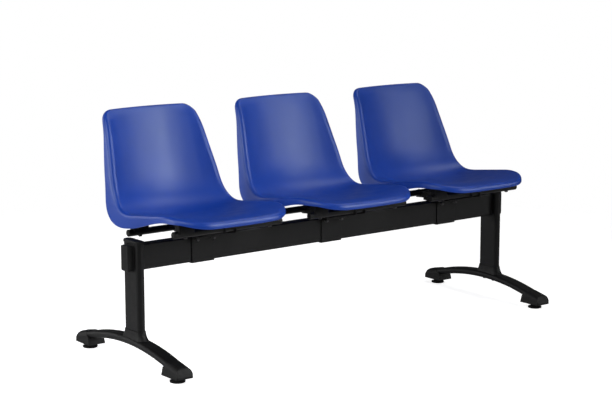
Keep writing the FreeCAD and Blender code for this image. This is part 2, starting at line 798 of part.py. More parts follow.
def cross_bar(b):
    """Round tube across the underside of a shell, drilled at its fixings."""
    up = pan_normal()
    centre = bar_centre(b)
    half = V(BAR_LENGTH / 2, 0, 0)
    tube = cylinder(BAR_DIAMETER / 2, centre - half, centre + half)
    tube = tube.cut(cylinder(BAR_DIAMETER / 2 - BAR_WALL, centre - half, centre + half))
    for _, side in SIDES:
        place = centre + V(side * SPACER_SPACING / 2, 0, 0)
        reach = up * BAR_DIAMETER
        tube = tube.cut(cylinder(SCREW_DIAMETER / 2 + FIT, place - reach, place + reach))
    return tube


def bar_plugs():
    """Plugs with bevelled heads in the four ends of the two bars."""
    plugs = []
    for b in (BAR_FRONT, BAR_REAR):
        for _, side in SIDES:
            out = V(side, 0, 0)
            end = bar_centre(b) + out * (BAR_LENGTH / 2)
            flange = cylinder(BAR_DIAMETER / 2, end, end + out * PLUG_FLANGE)
            rim = [e for e in flange.Edges if e.BoundBox.XLength < CONTACT
                   and (e.CenterOfMass - end).dot(out) > CONTACT]
            flange = flange.makeChamfer(PLUG_BEVEL, rim)
            insert = cylinder(BAR_DIAMETER / 2 - BAR_WALL - CONTACT, end - out * PLUG_INSERT, end)
            plugs.append(flange.fuse(insert))
    return joined(plugs)


# Seat brackets

def bracket_bolt_places():
    """X and Y of the bolts that draw the strap up to the bracket, about the beam's middle."""
    y = BEAM_DEPTH / 2 + FIT + STRAP_PLATE + STRAP_LUG / 2
    x = BRACKET_BOLT_SPACING_X / 2
    return [V(sx * x, sy * y, 0) for sx in (-1, 1) for sy in (-1, 1)]


def saddle_half():
    """Half depth of the saddle plate, out to the ends of the strap's lugs."""
    return BEAM_DEPTH / 2 + FIT + STRAP_PLATE + STRAP_LUG


def channel_solid(width, drop):
    """Filled channel in side view from past the front bar to past the rear bar, its top lowered."""
    front = bar_centre(BAR_FRONT)
    rear = bar_centre(BAR_REAR)
    along = (rear - front).normalize()
    front_tip = front - along * CHANNEL_TIP - V(0, 0, drop)
    rear_tip = rear + along * CHANNEL_TIP - V(0, 0, drop)
    foot_z = BEAM_TOP + FIT
    depth = V(0, 0, CHANNEL_TIP_DEPTH)
    outline = [
        front_tip,
        front - along * CHANNEL_TIP - depth,
        V(0, -CHANNEL_FOOT, foot_z),
        V(0, saddle_half(), foot_z),
        rear + along * CHANNEL_TIP - depth,
        rear_tip,
        front_tip,
    ]
    solid = Part.Face(Part.makePolygon(outline)).extrude(V(width, 0, 0))
    solid.translate(V(-width / 2, 0, 0))
    return solid


def seat_bracket():
    """Upturned channel, notched for the two bars, welded on a drilled saddle plate."""
    channel = channel_solid(CHANNEL_WIDTH, 0)
    channel = channel.cut(channel_solid(CHANNEL_WIDTH - 2 * CHANNEL_WALL, CHANNEL_WALL))
    reach = V(CHANNEL_WIDTH, 0, 0)
    for b in (BAR_FRONT, BAR_REAR):
        centre = bar_centre(b)
        channel = channel.cut(cylinder(BAR_DIAMETER / 2 + CONTACT, centre - reach, centre + reach))
    corner = V(-BRACKET_WIDTH / 2, -saddle_half(), BEAM_TOP + CONTACT)
    saddle = Part.makeBox(BRACKET_WIDTH, 2 * saddle_half(), BRACKET_PLATE, corner)
    bracket = saddle.fuse(channel)
    for place in bracket_bolt_places():
        hole = cylinder(BOLT_DIAMETER / 2 + FIT, place, place + V(0, 0, 2 * BEAM_TOP))
        bracket = bracket.cut(hole)
    return bracket


def bracket_strap():
    """Plate round the front, underside and back of the beam, with a bolted lug on each side."""
    inner = BEAM_DEPTH / 2 + CONTACT
    outer = inner + STRAP_PLATE
    top = BEAM_TOP - FIT
    bottom = BEAM_BOTTOM - CONTACT
    half = [
        V(0, 0, bottom),
        V(0, inner, bottom),
        V(0, inner, top),
        V(0, outer + STRAP_LUG, top),
        V(0, outer + STRAP_LUG, top - STRAP_PLATE),
        V(0, outer, top - STRAP_PLATE),
        V(0, outer, bottom - STRAP_PLATE),
        V(0, 0, bottom - STRAP_PLATE),
        V(0, 0, bottom),
    ]
    side = Part.Face(Part.makePolygon(half)).extrude(V(BRACKET_WIDTH, 0, 0))
    bend = [e for e in side.Edges if e.BoundBox.XLength > STRAP_PLATE
            and abs(e.CenterOfMass.y - outer) < CONTACT and e.CenterOfMass.z < BEAM_BOTTOM]
    side = side.makeFillet(STRAP_BEND, bend)
    strap = side.fuse(side.mirror(V(0, 0, 0), V(0, 1, 0))).removeSplitter()
    strap.translate(V(-BRACKET_WIDTH / 2, 0, 0))
    for place in bracket_bolt_places():
        top = place + V(0, 0, 2 * BEAM_TOP)
        strap = strap.cut(cylinder(BOLT_DIAMETER / 2 + FIT, place + V(0, 0, BEAM_BOTTOM), top))
    return strap


def bracket_bolts():
    """Four bolts with nuts through the bracket and the strap's lugs."""
    bolts = []
    head_foot = V(0, 0, BEAM_TOP + BRACKET_PLATE + 2 * CONTACT)
    nut_top = V(0, 0, BEAM_TOP - FIT - STRAP_PLATE - CONTACT)
    nut_foot = nut_top - V(0, 0, BOLT_NUT)
    for place in bracket_bolt_places():
        head = hexagon_prism(BOLT_ACROSS, place + head_foot, place + head_foot + V(0, 0, BOLT_HEAD))
        nut = hexagon_prism(BOLT_ACROSS, place + nut_foot, place + nut_top)
        shank = cylinder(BOLT_DIAMETER / 2, place + nut_foot - V(0, 0, BOLT_TAIL), place + head_foot)
        bolts.append(head.fuse([nut, shank]))
    return joined(bolts)


def seat_pieces():
    """All pieces of one seat, about the beam's middle."""
    shell = moulded_shell()
    return {
        "seat_shell": shell,
        "shell_spacers": shell_spacers(shell),
        "shell_screws": shell_screws(),
        "front_bar": cross_bar(BAR_FRONT),
        "rear_bar": cross_bar(BAR_REAR),
        "bar_plugs": bar_plugs(),
        "seat_bracket": seat_bracket(),
        "bracket_strap": bracket_strap(),
        "bracket_bolts": bracket_bolts(),
    }


def build():
    """Write every piece of the bench."""
    os.makedirs("parts", exist_ok=True)
    save("beam_tube", beam_tube())
    save("glide_nuts", glide_nuts())
    rear_shoe = shoe()
    for name, side in SIDES:
        save(f"beam_end_cap_{name}", beam_end_cap(side))
        save(f"column_{name}", column(side))
        save(f"column_cap_{name}", column_cap(side))
        save(f"column_socket_{name}", column_socket(side))
        save(f"column_bolts_{name}", column_bolts(side))
        save(f"foot_arm_{name}", foot_arm(side))
        for end_name, end in ENDS:
            piece = rear_shoe if end > 0 else rear_shoe.mirror(V(0, 0, 0), V(0, 1, 0))
            save(f"foot_shoe_{name}_{end_name}", piece.translated(V(side * COLUMN_X, 0, 0)))
            save(f"glide_{name}_{end_name}", glide(side, end))
    pieces = seat_pieces()
    middle = (len(SEAT_NAMES) - 1) / 2
    for k, name in enumerate(SEAT_NAMES):
        place = V((k - middle) * SEAT_PITCH, BEAM_Y, 0)
        for piece_name, shape in pieces.items():
            save(f"{piece_name}_{name}", shape.translated(place))


build()
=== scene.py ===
"""Three-seat waiting bench: finishes, fixings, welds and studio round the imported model."""
import math

import bmesh
import bpy
from mathutils import Matrix, Vector


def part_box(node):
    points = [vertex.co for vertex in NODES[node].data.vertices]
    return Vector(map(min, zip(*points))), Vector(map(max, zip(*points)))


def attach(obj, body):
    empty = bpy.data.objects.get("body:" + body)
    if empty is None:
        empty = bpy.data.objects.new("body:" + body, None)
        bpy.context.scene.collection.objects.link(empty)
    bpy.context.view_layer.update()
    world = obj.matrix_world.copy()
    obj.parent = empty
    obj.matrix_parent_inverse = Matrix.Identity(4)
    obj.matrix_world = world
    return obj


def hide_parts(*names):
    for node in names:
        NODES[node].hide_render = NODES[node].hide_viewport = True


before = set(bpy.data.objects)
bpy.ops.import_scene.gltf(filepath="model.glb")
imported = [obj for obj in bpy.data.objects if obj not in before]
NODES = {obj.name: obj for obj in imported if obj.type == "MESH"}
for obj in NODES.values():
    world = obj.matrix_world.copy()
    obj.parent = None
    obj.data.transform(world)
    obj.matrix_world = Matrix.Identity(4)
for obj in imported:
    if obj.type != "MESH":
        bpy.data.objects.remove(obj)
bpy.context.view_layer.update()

bl_info = {
    "name": "Waiting Bench",
    "version": (1, 0, 0),
    "blender": (4, 5, 0),
    "location": "3D View > Sidebar > Bench",
    "description": "Finishes, fixings and studio of a three-seat waiting bench",
    "category": "Add Mesh",
}

SEATS = ("left", "centre", "right")
SIDES = ("left", "right")
ENDS = ("front", "rear")
BENCH_BODY = "bench"
ROUND = "round"
HEXAGON = "hexagon"
# Height that the lamps face.
BENCH_MIDDLE = 0.5
# Edges that turn more than this stay sharp.
SHARP_ANGLE = math.radians(32)
# Middle part of a noise texture's values, where nearly all of them lie.
NOISE_RANGE = (0.3, 0.7)
# Depth of a thread as a share of its pitch.
THREAD_DEPTH = 0.6
# Corners round a weld bead, and the height of its ripple as a share of its radius.
BEAD_SIDES = 8
BEAD_RIPPLE = 0.16
# Reach of the welds along a saddle, in front of the beam's middle and behind it.
SADDLE_FRONT = 0.022
SADDLE_REAR = 0.047
# Rim of the floor's disc and the start of its fade, as shares of its radius.
FLOOR_RIM = 1.2
FADE_START = 0.5


class BenchFinishes(bpy.types.PropertyGroup):
    """Colours and surface texture of the bench."""

    shell_colour: bpy.props.FloatVectorProperty(
        name="Shell colour", description="Moulded shells", subtype="COLOR", size=3,
        min=0.0, max=1.0, default=(0.0030, 0.0390, 0.3150))
    shell_roughness: bpy.props.FloatProperty(
        name="Shell roughness", description="Sheen of the moulded shells", subtype="FACTOR",
        min=0.0, max=1.0, default=0.4)
    shell_sheen: bpy.props.FloatVectorProperty(
        name="Shell sheen", description="Tint of the shells' reflections", subtype="COLOR", size=3,
        min=0.0, max=1.0, default=(0.86, 0.97, 1.0))
    coat_colour: bpy.props.FloatVectorProperty(
        name="Coat colour", description="Powder coat on the steel", subtype="COLOR", size=3,
        min=0.0, max=1.0, default=(0.0032, 0.0032, 0.0035))
    coat_roughness: bpy.props.FloatProperty(
        name="Coat roughness", description="Sheen of the powder coat", subtype="FACTOR",
        min=0.0, max=1.0, default=0.5)
    trim_colour: bpy.props.FloatVectorProperty(
        name="Trim colour", description="Plastic caps, shoes, spacers and plugs", subtype="COLOR", size=3,
        min=0.0, max=1.0, default=(0.0030, 0.0030, 0.0033))
    trim_roughness: bpy.props.FloatProperty(
        name="Trim roughness", description="Sheen of the plastic trim", subtype="FACTOR",
        min=0.0, max=1.0, default=0.55)
    rubber_colour: bpy.props.FloatVectorProperty(
        name="Rubber colour", description="Pads of the glides", subtype="COLOR", size=3,
        min=0.0, max=1.0, default=(0.0050, 0.0050, 0.0050))
    zinc_colour: bpy.props.FloatVectorProperty(
        name="Zinc colour", description="Black plated screws, bolts and nuts", subtype="COLOR", size=3,
        min=0.0, max=1.0, default=(0.06, 0.06, 0.062))
    stem_colour: bpy.props.FloatVectorProperty(
        name="Stem colour", description="Bright plated stems of the glides", subtype="COLOR", size=3,
        min=0.0, max=1.0, default=(0.42, 0.42, 0.41))


class BenchFixings(bpy.types.PropertyGroup):
    """Sizes of the fixings and the welds."""

    bolt_diameter: bpy.props.FloatProperty(
        name="Bolt diameter", description="Shank of the hexagon bolts", unit="LENGTH", default=0.008)
    bolt_across: bpy.props.FloatProperty(
        name="Bolt across flats", description="Heads and nuts of the hexagon bolts", unit="LENGTH",
        default=0.013)
    bolt_head: bpy.props.FloatProperty(
        name="Bolt head", description="Height of the bolt heads", unit="LENGTH", default=0.0055)
    bolt_nut: bpy.props.FloatProperty(
        name="Bolt nut", description="Height of the nuts", unit="LENGTH", default=0.0065)
    bolt_tail: bpy.props.FloatProperty(
        name="Bolt tail", description="Thread that shows past a nut", unit="LENGTH", default=0.003)
    bolt_pitch: bpy.props.FloatProperty(
        name="Bolt pitch", description="Pitch of the bolts' thread", unit="LENGTH", default=0.00125)
    screw_diameter: bpy.props.FloatProperty(
        name="Screw diameter", description="Shank of the shell screws", unit="LENGTH", default=0.006)
    screw_head_diameter: bpy.props.FloatProperty(
        name="Screw head", description="Pan heads of the shell screws", unit="LENGTH", default=0.012)
    screw_head: bpy.props.FloatProperty(
        name="Screw head height", description="Height of the pan heads", unit="LENGTH", default=0.004)
    screw_socket: bpy.props.FloatProperty(
        name="Screw socket", description="Hexagon socket across its flats", unit="LENGTH", default=0.004)
    screw_reach: bpy.props.FloatProperty(
        name="Screw reach", description="From the bar's middle to the screw's tip", unit="LENGTH",
        default=0.044)
    screw_spacing: bpy.props.FloatProperty(
        name="Screw spacing", description="Between the two screws of a bar", unit="LENGTH", default=0.316)
    seat_slope: bpy.props.FloatProperty(
        name="Seat slope", description="Tilt of the seat and its screws", unit="ROTATION",
        default=math.radians(7.8))
    stem_diameter: bpy.props.FloatProperty(
        name="Stem diameter", description="Threaded stems of the glides", unit="LENGTH", default=0.010)
    stem_pitch: bpy.props.FloatProperty(
        name="Stem pitch", description="Pitch of the stems' thread", unit="LENGTH", default=0.0015)
    pad_height: bpy.props.FloatProperty(
        name="Pad height", description="Pads of the glides", unit="LENGTH", default=0.009)
    channel_width: bpy.props.FloatProperty(
        name="Channel width", description="Over the cheeks of a seat bracket", unit="LENGTH", default=0.042)
    saddle_plate: bpy.props.FloatProperty(
        name="Saddle plate", description="Top of the saddle above the beam", unit="LENGTH", default=0.0041)
    weld_size: bpy.props.FloatProperty(
        name="Weld size", description="Radius of a weld bead", unit="LENGTH", default=0.0022)
    weld_step: bpy.props.FloatProperty(
        name="Weld ripple", description="Length of one ripple of a bead", unit="LENGTH", default=0.0032)


class BenchStage(bpy.types.PropertyGroup):
    """Camera, floor and lamps."""

    camera_place: bpy.props.FloatVectorProperty(
        name="Camera place", description="Where the camera stands", subtype="TRANSLATION", size=3,
        default=(-3.3873, -4.2483, 1.3998))
    camera_azimuth: bpy.props.FloatProperty(
        name="Camera azimuth", description="Turn of the view about the vertical", unit="ROTATION",
        default=math.radians(-37.963))
    camera_elevation: bpy.props.FloatProperty(
        name="Camera elevation", description="Height of the view above the level", unit="ROTATION",
        default=math.radians(10.186))
    camera_lens: bpy.props.FloatProperty(
        name="Camera lens", description="Focal length in millimetres on a 36 mm sensor", unit="CAMERA",
        default=97.13)
    floor_colour: bpy.props.FloatVectorProperty(
        name="Floor colour", description="Pale floor", subtype="COLOR", size=3,
        min=0.0, max=1.0, default=(0.86, 0.86, 0.86))
    floor_radius: bpy.props.FloatProperty(
        name="Floor radius", description="Where the floor has faded into the backdrop", unit="LENGTH",
        default=2.6)
    floor_glow: bpy.props.FloatProperty(
        name="Floor glow", description="Lift of the floor where the camera sees it", min=0.0, default=0.8)
    room_level: bpy.props.FloatProperty(
        name="Room light", description="Even light from all round", min=0.0, default=0.03)
    mirror_share: bpy.props.FloatProperty(
        name="Backdrop in reflections", description="Share of the white backdrop that gloss shows",
        subtype="FACTOR", min=0.0, max=1.0, default=0.05)
    lamp_distance: bpy.props.FloatProperty(
        name="Lamp distance", description="From the bench to the left and rear lamps", unit="LENGTH",
        default=4.5)
    lamp_size: bpy.props.FloatProperty(
        name="Lamp size", description="Side of the left and rear lamps", unit="LENGTH", default=1.8)
    far_distance: bpy.props.FloatProperty(
        name="Far lamp distance", description="From the bench to the front and right lamps", unit="LENGTH",
        default=6.0)
    far_size: bpy.props.FloatProperty(
        name="Far lamp size", description="Side of the front and right lamps", unit="LENGTH", default=2.2)
    far_aim: bpy.props.FloatProperty(
        name="Far lamp aim", description="Place along the bench that the front and right lamps face",
        unit="LENGTH", default=-1.0)
    far_beam: bpy.props.FloatProperty(
        name="Far lamp beam", description="Angle of the front and right lamps' beams", unit="ROTATION",
        default=math.radians(44.0))
    left_low_power: bpy.props.FloatProperty(
        name="Left lamp, low", description="Power of the low lamp on the left", unit="POWER", min=0.0,
        default=68.0)
    left_high_power: bpy.props.FloatProperty(
        name="Left lamp, high", description="Power of the raised lamp on the left", unit="POWER", min=0.0,
        default=78.0)
    front_power: bpy.props.FloatProperty(
        name="Front lamp", description="Power of the low lamp in front", unit="POWER", min=0.0,
        default=12.0)
    right_low_power: bpy.props.FloatProperty(
        name="Right lamp, low", description="Power of the low lamp on the right", unit="POWER", min=0.0,
        default=8.2)
    right_high_power: bpy.props.FloatProperty(
        name="Right lamp, high", description="Power of the raised lamp on the right", unit="POWER", min=0.0,
        default=5.0)
    rear_power: bpy.props.FloatProperty(
        name="Rear lamp", description="Power of the high lamp behind on the right", unit="POWER", min=0.0,
        default=31.0)
    back_power: bpy.props.FloatProperty(
        name="Back lamp", description="Power of the lamp behind the backs", unit="POWER", min=0.0,
        default=32.0)


class NodeTree:
    """Short way to place and join shader nodes."""

    def __init__(self, tree):
        self.tree = tree
        tree.nodes.clear()

    def add(self, kind, **settings):
        """Place a node and set its fields."""
        made = self.tree.nodes.new(kind)
        for name, value in settings.items():
            setattr(made, name, value)
        return made

    def join(self, source, target):
        """Run a link from one socket to another."""
        self.tree.links.new(source, target)


def grain(nodes, place, scale, detail, low, high):
    """Noise in the object's own metres, spread over a range of values."""
    noise = nodes.add("ShaderNodeTexNoise")
    noise.inputs["Scale"].default_value = scale
    noise.inputs["Detail"].default_value = detail
    nodes.join(place, noise.inputs["Vector"])
    spread = nodes.add("ShaderNodeMapRange")
    spread.inputs["From Min"].default_value = NOISE_RANGE[0]
    spread.inputs["From Max"].default_value = NOISE_RANGE[1]
    spread.inputs["To Min"].default_value = low
    spread.inputs["To Max"].default_value = high
    nodes.join(noise.outputs["Fac"], spread.inputs["Value"])
    return spread.outputs["Result"]


def finish_material(name, colour, roughness, tint, patch, bump_scale, bump_depth,
                    metallic=0.0, gloss=0.5, edge=0.0, sheen_tint=(1.0, 1.0, 1.0)):
    """Finish with patches of tint and sheen, a fine surface texture and slightly rounded edges."""
    made = bpy.data.materials.new(name)
    made.use_nodes = True
    nodes = NodeTree(made.node_tree)
    output = nodes.add("ShaderNodeOutputMaterial")
    shader = nodes.add("ShaderNodeBsdfPrincipled")
    shader.inputs["Metallic"].default_value = metallic
    shader.inputs["Specular IOR Level"].default_value = gloss
    shader.inputs["Specular Tint"].default_value = list(sheen_tint) + [1.0]
    nodes.join(shader.outputs["BSDF"], output.inputs["Surface"])
    place = nodes.add("ShaderNodeTexCoord").outputs["Object"]
    mix = nodes.add("ShaderNodeMix", data_type="RGBA")
    mix.inputs["A"].default_value = [c * (1 - tint) for c in colour] + [1.0]
    mix.inputs["B"].default_value = [min(1.0, c * (1 + tint)) for c in colour] + [1.0]
    nodes.join(grain(nodes, place, patch, 3.0, 0.0, 1.0), mix.inputs["Factor"])
    nodes.join(mix.outputs["Result"], shader.inputs["Base Color"])
    sheen = grain(nodes, place, patch * 4, 4.0, roughness * 0.92, min(1.0, roughness * 1.1))
    nodes.join(sheen, shader.inputs["Roughness"])
    bump = nodes.add("ShaderNodeBump")
    bump.inputs["Strength"].default_value = 1.0
    bump.inputs["Distance"].default_value = bump_depth
    nodes.join(grain(nodes, place, bump_scale, 2.0, 0.0, 1.0), bump.inputs["Height"])
    if edge:
        round_edge = nodes.add("ShaderNodeBevel", samples=4)
        round_edge.inputs["Radius"].default_value = edge
        nodes.join(round_edge.outputs["Normal"], bump.inputs["Normal"])
    nodes.join(bump.outputs["Normal"], shader.inputs["Normal"])
    return made


def dress(names, material):
    """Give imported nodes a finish."""
    for name in names:
        data = NODES[name].data
        data.materials.clear()
        data.materials.append(material)


def new_piece(name, work, body, materials):
    """Turn finished mesh work into a piece that rides on a body."""
    data = bpy.data.meshes.new(name)
    bmesh.ops.recalc_face_normals(work, faces=work.faces)
    work.to_mesh(data)
    work.free()
    for material in materials:
        data.materials.append(material)
    data.shade_smooth()
    data.set_sharp_from_angle(angle=SHARP_ANGLE)
    piece = bpy.data.objects.new(name, data)
    bpy.context.scene.collection.objects.link(piece)
    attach(piece, body)
    return piece


def turned(work, rings, place, material=0, segments=24):
    """Skin over round and hexagonal rings, each a shape, a half width and a height on the axis."""
    loops = []
    for shape, half, height in rings:
        loop = []
        for k in range(segments if half else 1):
            turn = 2 * math.pi * k / segments
            reach = half
            if shape == HEXAGON:
                reach = half / math.cos(turn % (math.pi / 3) - math.pi / 6)
            point = Vector((reach * math.cos(turn), reach * math.sin(turn), height))
            loop.append(work.verts.new(place @ point))
        loops.append(loop)
    for lower, upper in zip(loops, loops[1:]):
        sides = ((lower, 0), (lower, 1), (upper, 1), (upper, 0))
        for k in range(segments):
            corners = [loop[(k + step) % len(loop)] for loop, step in sides]
            work.faces.new(list(dict.fromkeys(corners))).material_index = material


def thread(work, radius, pitch, low, high, place, material=0, segments=24):
    """Screw thread whose crest and root run up as one helix, closed at both ends."""
    rows = 2 * math.floor((high - low) / pitch - 1)
    grid = {}
    for k in range(segments):
        turn = 2 * math.pi * k / segments
        for row in range(rows + (1 if k else 3)):
            reach = radius - THREAD_DEPTH * pitch * (row % 2)
            height = low + pitch * (row / 2 + k / segments)
            point = Vector((reach * math.cos(turn), reach * math.sin(turn), height))
            grid[k, row] = work.verts.new(place @ point)
    for k in range(segments):
        after = (lambda row: grid[0, row + 2]) if k == segments - 1 else (lambda row: grid[k + 1, row])
        for row in range(rows):
            face = work.faces.new((grid[k, row], after(row), after(row + 1), grid[k, row + 1]))
            face.material_index = material
    for row in (0, rows):
        loop = [grid[k, row] for k in range(segments)] + [grid[0, row + 2], grid[0, row + 1]]
        middle = work.verts.new(sum((corner.co for corner in loop), Vector()) / len(loop))
        for corner, following in zip(loop, loop[1:] + loop[:1]):
            work.faces.new((middle, corner, following)).material_index = material


def bead(work, path, size, step, closed):
    """Rippled weld bead along a path across the bench's length."""
    normal = Vector((1, 0, 0))
    rings = []
    run = 0.0
    for k, point in enumerate(path):
        before = path[k - 1] if k or closed else point
        after = path[(k + 1) % len(path)] if k + 1 < len(path) or closed else point
        side = normal.cross((after - before).normalized())
        run += (point - before).length if k else 0.0
        radius = size * (1 + BEAD_RIPPLE * math.cos(2 * math.pi * run / step))
        turns = [2 * math.pi * turn / BEAD_SIDES for turn in range(BEAD_SIDES)]
        spokes = [normal * math.cos(turn) + side * math.sin(turn) for turn in turns]
        rings.append([work.verts.new(point + spoke * radius) for spoke in spokes])
    pairs = list(zip(rings, rings[1:]))
    if closed:
        pairs.append((rings[-1], rings[0]))
    for first, second in pairs:
        for k in range(BEAD_SIDES):
            after = (k + 1) % BEAD_SIDES
            work.faces.new((first[k], first[after], second[after], second[k]))
    if not closed:
        work.faces.new(rings[0])
        work.faces.new(rings[-1])


def upright_outline(x, middle, half_y, half_z, corner, step):
    """Points round an upright rectangle with rounded corners, or round a circle."""
    bends = ((1, 1, 0.0), (-1, 1, 0.5), (-1, -1, 1.0), (1, -1, 1.5))
    arc = max(3, round(corner * math.pi / 2 / step))
    points = []
    for sign_y, sign_z, start in bends:
        centre = Vector((x, middle.y + sign_y * (half_y - corner), middle.z + sign_z * (half_z - corner)))
        for k in range(arc + 1):
            turn = math.pi * (start + k / arc / 2)
            points.append(centre + Vector((0, math.cos(turn), math.sin(turn))) * corner)
    filled = []
    for point, following in zip(points, points[1:] + points[:1]):
        parts = round((following - point).length / step)
        filled += [point.lerp(following, k / parts) for k in range(parts)]
    return filled


def straight_run(start, end, step):
    """Points along a straight weld."""
    parts = round((end - start).length / step)
    return [start.lerp(end, k / parts) for k in range(parts + 1)]


def middle_of(name):
    """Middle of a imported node's box."""
    low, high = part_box(name)
    return (low + high) / 2


class BENCH_OT_seat_shells(bpy.types.Operator):
    """Finish the moulded shells"""

    bl_idname = "bench.seat_shells"
    bl_label = "Seat shells"

    def execute(self, context):
        look = context.scene.bench_finishes
        plastic = finish_material("moulded_shell", look.shell_colour, look.shell_roughness, tint=0.05,
                                  patch=6.0, bump_scale=480.0, bump_depth=0.00005, sheen_tint=look.shell_sheen)
        dress([f"seat_shell_{seat}" for seat in SEATS], plastic)
        return {"FINISHED"}


class BENCH_OT_steelwork(bpy.types.Operator):
    """Finish the coated steel: beam, columns, sockets, feet, bars, brackets and straps"""

    bl_idname = "bench.steelwork"
    bl_label = "Steelwork"

    def execute(self, context):
        look = context.scene.bench_finishes
        coat = finish_material("powder_coat", look.coat_colour, look.coat_roughness, tint=0.12, patch=9.0,
                               bump_scale=900.0, bump_depth=0.00004, gloss=0.2, edge=0.0007)
        names = ["beam_tube"]
        for side in SIDES:
            names += [f"column_{side}", f"column_socket_{side}", f"foot_arm_{side}"]
        for seat in SEATS:
            names += [f"front_bar_{seat}", f"rear_bar_{seat}"]
            names += [f"seat_bracket_{seat}", f"bracket_strap_{seat}"]
        dress(names, coat)
        return {"FINISHED"}


class BENCH_OT_trim(bpy.types.Operator):
    """Finish the plastic caps, shoes, spacers and plugs"""

    bl_idname = "bench.trim"
    bl_label = "Plastic trim"

    def execute(self, context):
        look = context.scene.bench_finishes
        plastic = finish_material("moulded_trim", look.trim_colour, look.trim_roughness, tint=0.12,
                                  patch=20.0, bump_scale=1600.0, bump_depth=0.00003, gloss=0.2, edge=0.0009)
        names = []
        for side in SIDES:
            names += [f"beam_end_cap_{side}", f"column_cap_{side}"]
            names += [f"foot_shoe_{side}_{end}" for end in ENDS]
        for seat in SEATS:
            names += [f"shell_spacers_{seat}", f"bar_plugs_{seat}"]
        dress(names, plastic)
        return {"FINISHED"}


class BENCH_OT_glides(bpy.types.Operator):
    """Make the levelling glides, pads on threaded stems"""

    bl_idname = "bench.glides"
    bl_label = "Glides"

    def execute(self, context):
        look = context.scene.bench_finishes
        size = context.scene.bench_fixings
        rubber = finish_material("pad_rubber", look.rubber_colour, 0.7, tint=0.15, patch=30.0,
                                 bump_scale=1100.0, bump_depth=0.00005, gloss=0.3)
        zinc = finish_material("bright_zinc", look.stem_colour, 0.34, tint=0.1, patch=60.0,
                               bump_scale=2500.0, bump_depth=0.00001, metallic=1.0)
        for side in SIDES:
            for end in ENDS:
                node = f"glide_{side}_{end}"
                low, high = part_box(node)
                work = bmesh.new()
                place = Matrix.Translation(((low.x + high.x) / 2, (low.y + high.y) / 2, low.z))
                turned(work, self.pad_rings((high.x - low.x) / 2, size), place, segments=48)
                thread(work, size.stem_diameter / 2, size.stem_pitch, size.pad_height - size.stem_pitch,
                       high.z - low.z, place, material=1)
                piece = new_piece(f"levelling_foot_{side}_{end}", work, f"leveller_{side}_{end}",
                                  (rubber, zinc))
                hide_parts(node)
                dress([node], rubber)
        return {"FINISHED"}

    def pad_rings(self, radius, size):
        """Hollowed sole, bevelled edge with a moulded groove, and the slope up to the neck."""
        top = size.pad_height
        neck = 0.375 * radius
        return [(ROUND, half, height) for half, height in (
            (0.0, 0.001), (0.70 * radius, 0.001), (0.74 * radius, 0.0), (0.93 * radius, 0.0),
            (0.98 * radius, 0.0006), (radius, 0.0018), (radius, 0.0026), (0.975 * radius, 0.0029),
            (0.975 * radius, 0.0035), (radius, 0.0038), (0.995 * radius, 0.0046), (0.96 * radius, 0.0053),
            (neck + 0.001, top - 0.0002), (neck, top), (0.0, top))]


class BENCH_OT_welds(bpy.types.Operator):
    """Run weld beads where the beam meets the columns and on the seat brackets"""

    bl_idname = "bench.welds"
    bl_label = "Welds"

    def execute(self, context):
        size = context.scene.bench_fixings
        coat = bpy.data.materials["powder_coat"]
        step = size.weld_step / 4
        beam_low, beam_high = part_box("beam_tube")
        beam = middle_of("beam_tube")
        for side in SIDES:
            work = bmesh.new()
            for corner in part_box(f"column_{side}"):
                path = upright_outline(corner.x, beam, (beam_high.y - beam_low.y) / 2,
                                       (beam_high.z - beam_low.z) / 2, 0.005, step)
                bead(work, path, size.weld_size, size.weld_step, True)
            new_piece(f"beam_weld_{side}", work, BENCH_BODY, (coat,))
        for seat in SEATS:
            work = bmesh.new()
            centre = middle_of(f"seat_bracket_{seat}")
            saddle = beam_high.z + size.saddle_plate
            for hand in (-1, 1):
                x = centre.x + hand * size.channel_width / 2
                for bar in (f"front_bar_{seat}", f"rear_bar_{seat}"):
                    low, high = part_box(bar)
                    radius = (high.z - low.z) / 2
                    path = upright_outline(x, middle_of(bar), radius, radius, radius, step)
                    bead(work, path, 0.8 * size.weld_size, size.weld_step, True)
                start = Vector((x, beam.y - SADDLE_FRONT, saddle))
                end = Vector((x, beam.y + SADDLE_REAR, saddle))
                bead(work, straight_run(start, end, step), 0.8 * size.weld_size, size.weld_step, False)
            new_piece(f"bracket_weld_{seat}", work, BENCH_BODY, (coat,))
        return {"FINISHED"}


